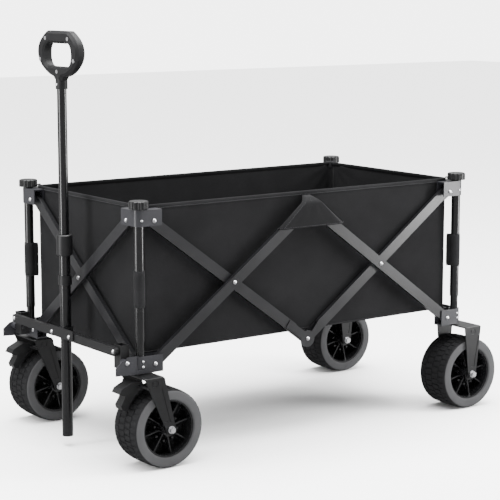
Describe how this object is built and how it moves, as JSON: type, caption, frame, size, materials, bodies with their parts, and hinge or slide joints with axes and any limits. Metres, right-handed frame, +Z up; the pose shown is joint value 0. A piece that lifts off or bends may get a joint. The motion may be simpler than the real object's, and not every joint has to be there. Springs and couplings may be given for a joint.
{
  "type": "folding camp wagon",
  "caption": "Folding fabric-tub camp wagon on a scissor frame with telescoping corner posts, caster wheels, brakes and a tilting pull handle.",
  "frame": {"origin": "centre of the bounding box's foot, on the ground", "axes": "+X towards the rear of the wagon, -X the handle end, +Y the wagon's right side facing the handle end, +Z up"},
  "size_m": [1.112, 0.6222, 0.958],
  "materials": {
    "moulded_black": "moulded, semi-matt",
    "tyre_grey": "matt",
    "hub_black": "glossy moulded",
    "zinc": "bright zinc",
    "cloth": "coated woven polyester",
    "bar_grey": "satin powder coat",
    "coated_steel": "semi-gloss powder coat"
  },
  "bodies": {
    "fl_lower": {"fl_lower_post": "coated_steel"},
    "fl_upper": {"fl_upper_post": "coated_steel", "fl_knob": "moulded_black", "tub_left_wall": "cloth", "tub_front_wall": "cloth"},
    "fl_caster": {"fl_fork": "coated_steel", "fl_axle": "zinc"},
    "fl_brake": {"fl_brake_lever": "moulded_black"},
    "fl_wheel": {"fl_tyre": "tyre_grey", "fl_hub": "hub_black"},
    "fr_lower": {"fr_lower_post": "coated_steel"},
    "fr_upper": {"fr_upper_post": "coated_steel", "fr_knob": "moulded_black", "tub_right_wall": "cloth"},
    "fr_caster": {"fr_fork": "coated_steel", "fr_axle": "zinc"},
    "fr_brake": {"fr_brake_lever": "moulded_black"},
    "fr_wheel": {"fr_tyre": "tyre_grey", "fr_hub": "hub_black"},
    "rl_lower": {"rl_lower_post": "coated_steel", "rl_fork": "coated_steel", "rl_axle": "zinc"},
    "rl_upper": {"rl_upper_post": "coated_steel", "rl_knob": "moulded_black", "tub_rear_wall": "cloth"},
    "rl_wheel": {"rl_tyre": "tyre_grey", "rl_hub": "hub_black"},
    "rr_lower": {"rr_lower_post": "coated_steel", "rr_fork": "coated_steel", "rr_axle": "zinc"},
    "rr_upper": {"rr_upper_post": "coated_steel", "rr_knob": "moulded_black"},
    "rr_wheel": {"rr_tyre": "tyre_grey", "rr_hub": "hub_black"},
    "left_front_outer": {"left_front_outer_bar": "bar_grey"},
    "left_front_inner": {"left_front_inner_bar": "bar_grey"},
    "left_rear_outer": {"left_rear_outer_bar": "bar_grey"},
    "left_rear_inner": {"left_rear_inner_bar": "bar_grey"},
    "right_front_outer": {"right_front_outer_bar": "bar_grey"},
    "right_front_inner": {"right_front_inner_bar": "bar_grey"},
    "right_rear_outer": {"right_rear_outer_bar": "bar_grey"},
    "right_rear_inner": {"right_rear_inner_bar": "bar_grey"},
    "front_end_inner": {"front_inner_bar": "bar_grey"},
    "front_end_outer": {"front_outer_bar": "bar_grey"},
    "rear_end_inner": {"rear_inner_bar": "bar_grey"},
    "rear_end_outer": {"rear_outer_bar": "bar_grey"},
    "floor_left": {"tub_floor_left": "cloth"},
    "floor_right": {"tub_floor_right": "cloth"},
    "left_arm": {"left_handle_arm": "moulded_black"},
    "right_arm": {"right_handle_arm": "moulded_black"},
    "left_link": {"left_handle_link": "coated_steel"},
    "right_link": {"right_handle_link": "coated_steel"},
    "pole": {"pole_bracket": "coated_steel", "lower_pole": "coated_steel", "pole_collar": "moulded_black", "pole_clip": "moulded_black"},
    "slider": {"upper_pole": "coated_steel", "grip_front": "moulded_black", "grip_rear": "moulded_black", "grip_screws": "zinc"}
  },
  "joints": [
    {"name": "fold", "type": "hinge", "parent": "fl_lower", "child": "left_front_outer", "pos_m": [-0.454, -0.2495, 0.233], "axis": [0, -1, 0], "range_deg": [0, 40], "deforming": ["tub_left_wall", "tub_right_wall", "tub_front_wall", "tub_rear_wall", "tub_floor_left", "tub_floor_right"]},
    {"name": "left_front_crossing", "type": "hinge", "parent": "left_front_outer", "child": "left_front_inner", "pos_m": [-0.2365, -0.2495, 0.3925], "axis": [0, -1, 0], "range_deg": [-80.1, 0]},
    {"name": "fl_top_pivot", "type": "hinge", "parent": "left_front_inner", "child": "fl_upper", "pos_m": [-0.454, -0.2495, 0.552], "axis": [0, -1, 0], "range_deg": [0, 40.1]},
    {"name": "left_top_knuckle", "type": "hinge", "parent": "left_front_outer", "child": "left_rear_outer", "pos_m": [-0.019, -0.2495, 0.552], "axis": [0, -1, 0], "range_deg": [-80.1, 0]},
    {"name": "left_rear_crossing", "type": "hinge", "parent": "left_rear_outer", "child": "left_rear_inner", "pos_m": [0.1985, -0.2495, 0.3925], "axis": [0, -1, 0], "range_deg": [0, 80.1]},
    {"name": "rl_low_pivot", "type": "hinge", "parent": "left_rear_outer", "child": "rl_lower", "pos_m": [0.416, -0.2495, 0.233], "axis": [0, -1, 0], "range_deg": [0, 40.1]},
    {"name": "rl_top_pivot", "type": "hinge", "parent": "left_rear_inner", "child": "rl_upper", "pos_m": [0.416, -0.2495, 0.552], "axis": [0, -1, 0], "range_deg": [-40.1, 0]},
    {"name": "right_front_outer_pivot", "type": "hinge", "parent": "fr_lower", "child": "right_front_outer", "pos_m": [-0.454, 0.2495, 0.233], "axis": [0, -1, 0], "range_deg": [0, 40.1]},
    {"name": "right_front_crossing", "type": "hinge", "parent": "right_front_outer", "child": "right_front_inner", "pos_m": [-0.2365, 0.2495, 0.3925], "axis": [0, -1, 0], "range_deg": [-80.1, 0]},
    {"name": "right_top_knuckle", "type": "hinge", "parent": "right_front_outer", "child": "right_rear_outer", "pos_m": [-0.019, 0.2495, 0.552], "axis": [0, -1, 0], "range_deg": [-80.1, 0]},
    {"name": "right_rear_crossing", "type": "hinge", "parent": "right_rear_outer", "child": "right_rear_inner", "pos_m": [0.1985, 0.2495, 0.3925], "axis": [0, -1, 0], "range_deg": [0, 80.1]},
    {"name": "rr_low_pivot", "type": "hinge", "parent": "right_rear_outer", "child": "rr_lower", "pos_m": [0.416, 0.2495, 0.233], "axis": [0, -1, 0], "range_deg": [0, 40.1]},
    {"name": "rr_top_pivot", "type": "hinge", "parent": "right_rear_inner", "child": "rr_upper", "pos_m": [0.416, 0.2495, 0.552], "axis": [0, -1, 0], "range_deg": [-40.1, 0]},
    {"name": "front_end_low_pivot", "type": "hinge", "parent": "fl_lower", "child": "front_end_inner", "pos_m": [-0.486, -0.2175, 0.233], "axis": [1, 0, 0], "range_deg": [0, 40.1]},
    {"name": "front_end_crossing", "type": "hinge", "parent": "front_end_inner", "child": "front_end_outer", "pos_m": [-0.486, 0, 0.3925], "axis": [1, 0, 0], "range_deg": [-80.1, 0]},
    {"name": "fr_low_pivot", "type": "hinge", "parent": "front_end_outer", "child": "fr_lower", "pos_m": [-0.486, 0.2175, 0.233], "axis": [1, 0, 0], "range_deg": [0, 40.1]},
    {"name": "fr_top_pivot", "type": "hinge", "parent": "front_end_inner", "child": "fr_upper", "pos_m": [-0.486, 0.2175, 0.552], "axis": [1, 0, 0], "range_deg": [-40.1, 0]},
    {"name": "rear_end_low_pivot", "type": "hinge", "parent": "rl_lower", "child": "rear_end_inner", "pos_m": [0.448, -0.2175, 0.233], "axis": [1, 0, 0], "range_deg": [0, 40.1]},
    {"name": "rear_end_crossing", "type": "hinge", "parent": "rear_end_inner", "child": "rear_end_outer", "pos_m": [0.448, 0, 0.3925], "axis": [1, 0, 0], "range_deg": [-80.1, 0]},
    {"name": "floor_left_hinge", "type": "hinge", "parent": "fl_upper", "child": "floor_left", "pos_m": [-0.019, -0.2301, 0.257], "axis": [1, 0, 0], "range_deg": [0, 70.1]},
    {"name": "floor_right_hinge", "type": "hinge", "parent": "fr_upper", "child": "floor_right", "pos_m": [-0.019, 0.2301, 0.257], "axis": [-1, 0, 0], "range_deg": [0, 70.1]},
    {"name": "handle_tilt", "type": "hinge", "parent": "fl_lower", "child": "left_arm", "pos_m": [-0.527, -0.229, 0.243], "axis": [0, -1, 0], "range_deg": [0, 75]},
    {"name": "right_arm_tilt", "type": "hinge", "parent": "fr_lower", "child": "right_arm", "pos_m": [-0.527, 0.229, 0.243], "axis": [0, -1, 0], "range_deg": [0, 75.1]},
    {"name": "left_link_pivot", "type": "hinge", "parent": "left_arm", "child": "left_link", "pos_m": [-0.538, -0.229, 0.266], "axis": [1, 0, 0], "range_deg": [0, 79.2]},
    {"name": "left_bracket_pivot", "type": "hinge", "parent": "left_link", "child": "pole", "pos_m": [-0.538, -0.0395, 0.266], "axis": [1, 0, 0], "range_deg": [-79.2, 0]},
    {"name": "right_link_pivot", "type": "hinge", "parent": "pole", "child": "right_link", "pos_m": [-0.538, 0.0395, 0.266], "axis": [1, 0, 0], "range_deg": [-79.2, 0]},
    {"name": "handle_extend", "type": "slide", "parent": "pole", "child": "slider", "axis": [0, 0, 1], "range_m": [-0.3, 0.1]},
    {"name": "fl_swivel", "type": "hinge", "parent": "fl_lower", "child": "fl_caster", "pos_m": [-0.486, -0.2495, 0.212], "axis": [0, 0, 1], "continuous": true},
    {"name": "fl_wheel_spin", "type": "hinge", "parent": "fl_caster", "child": "fl_wheel", "pos_m": [-0.44, -0.2495, 0.09], "axis": [0, 1, 0], "continuous": true},
    {"name": "fl_brake_pedal", "type": "hinge", "parent": "fl_caster", "child": "fl_brake", "pos_m": [-0.498, -0.2495, 0.19], "axis": [0, 1, 0], "range_deg": [0, 15]},
    {"name": "fr_swivel", "type": "hinge", "parent": "fr_lower", "child": "fr_caster", "pos_m": [-0.486, 0.2495, 0.212], "axis": [0, 0, 1], "continuous": true},
    {"name": "fr_wheel_spin", "type": "hinge", "parent": "fr_caster", "child": "fr_wheel", "pos_m": [-0.44, 0.2495, 0.09], "axis": [0, 1, 0], "continuous": true},
    {"name": "fr_brake_pedal", "type": "hinge", "parent": "fr_caster", "child": "fr_brake", "pos_m": [-0.498, 0.2495, 0.19], "axis": [0, 1, 0], "range_deg": [0, 15]},
    {"name": "rl_wheel_spin", "type": "hinge", "parent": "rl_lower", "child": "rl_wheel", "pos_m": [0.466, -0.2495, 0.09], "axis": [0, 1, 0], "continuous": true},
    {"name": "rr_wheel_spin", "type": "hinge", "parent": "rr_lower", "child": "rr_wheel", "pos_m": [0.466, 0.2495, 0.09], "axis": [0, 1, 0], "continuous": true}
  ],
  "couplings": [
    {"joint": "left_front_crossing", "follows": "fold", "ratio": -2},
    {"joint": "fl_top_pivot", "follows": "fold", "ratio": 1},
    {"joint": "left_top_knuckle", "follows": "fold", "ratio": -2},
    {"joint": "left_rear_crossing", "follows": "fold", "ratio": 2},
    {"joint": "rl_low_pivot", "follows": "fold", "ratio": 1},
    {"joint": "rl_top_pivot", "follows": "fold", "ratio": -1},
    {"joint": "right_front_outer_pivot", "follows": "fold", "ratio": 1},
    {"joint": "right_front_crossing", "follows": "fold", "ratio": -2},
    {"joint": "right_top_knuckle", "follows": "fold", "ratio": -2},
    {"joint": "right_rear_crossing", "follows": "fold", "ratio": 2},
    {"joint": "rr_low_pivot", "follows": "fold", "ratio": 1},
    {"joint": "rr_top_pivot", "follows": "fold", "ratio": -1},
    {"joint": "front_end_low_pivot", "follows": "fold", "ratio": 1},
    {"joint": "front_end_crossing", "follows": "fold", "ratio": -2},
    {"joint": "fr_low_pivot", "follows": "fold", "ratio": 1},
    {"joint": "fr_top_pivot", "follows": "fold", "ratio": -1},
    {"joint": "rear_end_low_pivot", "follows": "fold", "ratio": 1},
    {"joint": "rear_end_crossing", "follows": "fold", "ratio": -2},
    {"joint": "floor_left_hinge", "follows": "fold", "ratio": 1.75},
    {"joint": "floor_right_hinge", "follows": "fold", "ratio": 1.75},
    {"joint": "right_arm_tilt", "follows": "handle_tilt", "ratio": 1},
    {"joint": "left_link_pivot", "follows": "fold", "ratio": 1.9755},
    {"joint": "left_bracket_pivot", "follows": "fold", "ratio": -1.9755},
    {"joint": "right_link_pivot", "follows": "fold", "ratio": -1.9755}
  ]
}
